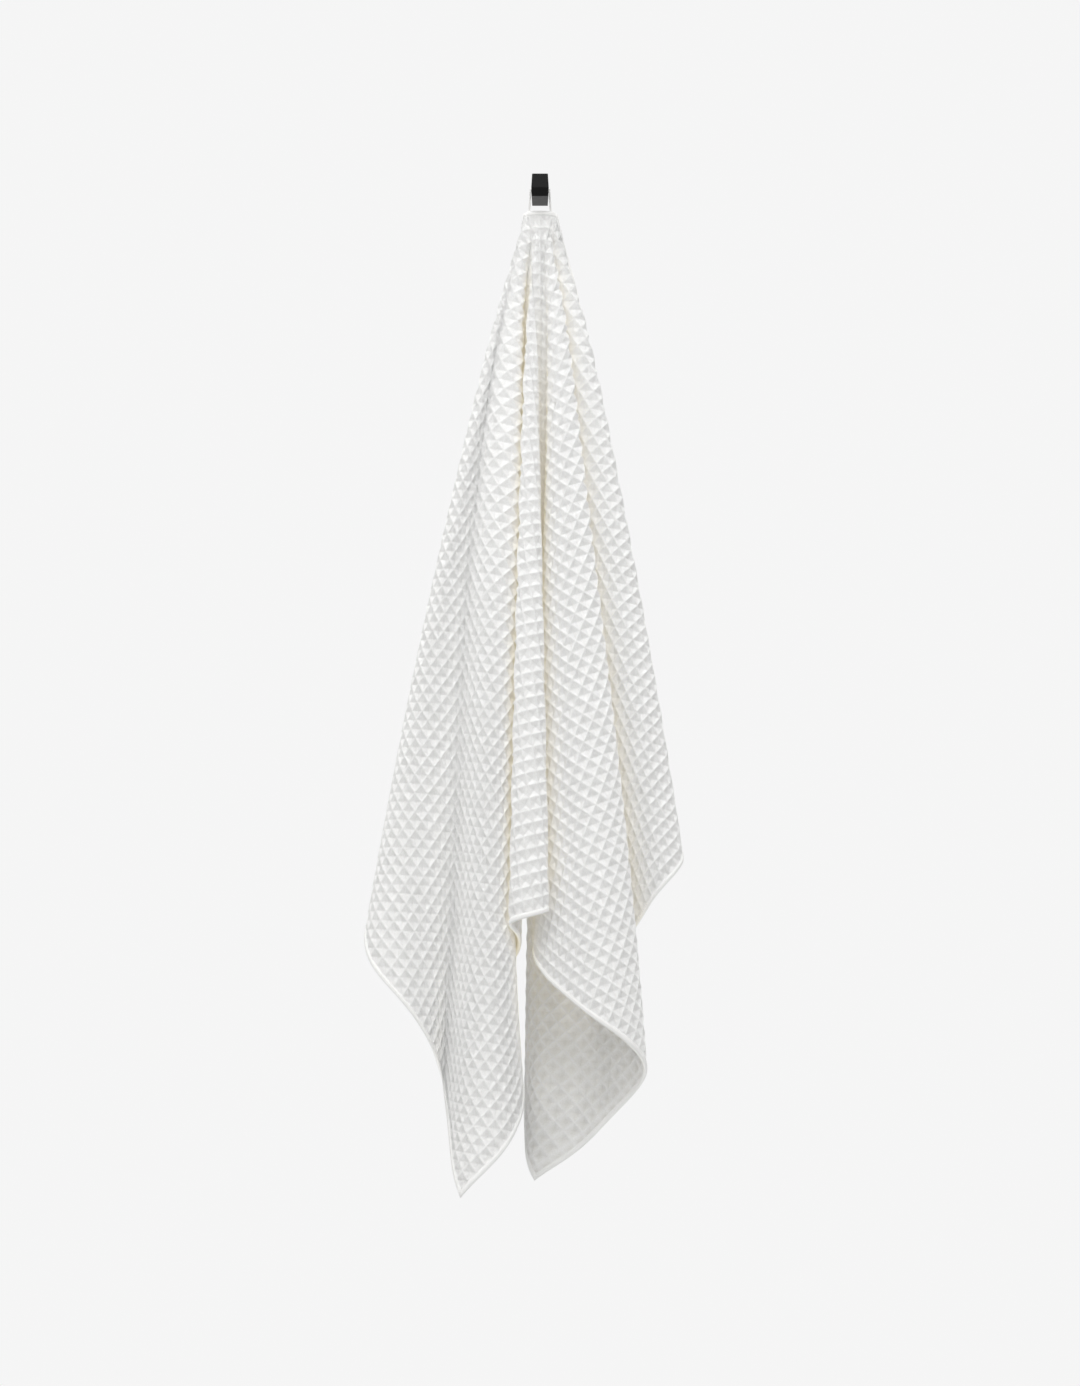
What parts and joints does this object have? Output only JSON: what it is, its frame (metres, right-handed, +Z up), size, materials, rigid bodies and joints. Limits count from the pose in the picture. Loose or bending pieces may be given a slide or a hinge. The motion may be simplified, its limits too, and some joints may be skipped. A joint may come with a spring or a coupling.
{
  "type": "bath towel on a wall hook",
  "caption": "Waffle-weave cotton bath towel hung in uneven diagonal folds by its sewn loop from a plain square wall hook; the lower corners hang as two pointed lobes.",
  "frame": {"origin": "centre of the hook's wall face", "axes": "+Y into the wall, +Z up, +X to the right as seen from the front; the towel hangs in front of the wall towards -Y"},
  "size_m": [0.3248, 0.1616, 1.0244],
  "materials": {
    "white_waffle_cotton": "matte waffle weave",
    "white_cotton_tape": "matte woven tape",
    "black_painted_metal": "satin black"
  },
  "bodies": {
    "root": {"towel": "white_waffle_cotton", "hanging_loop": "white_cotton_tape", "hook": "black_painted_metal"}
  },
  "joints": []
}
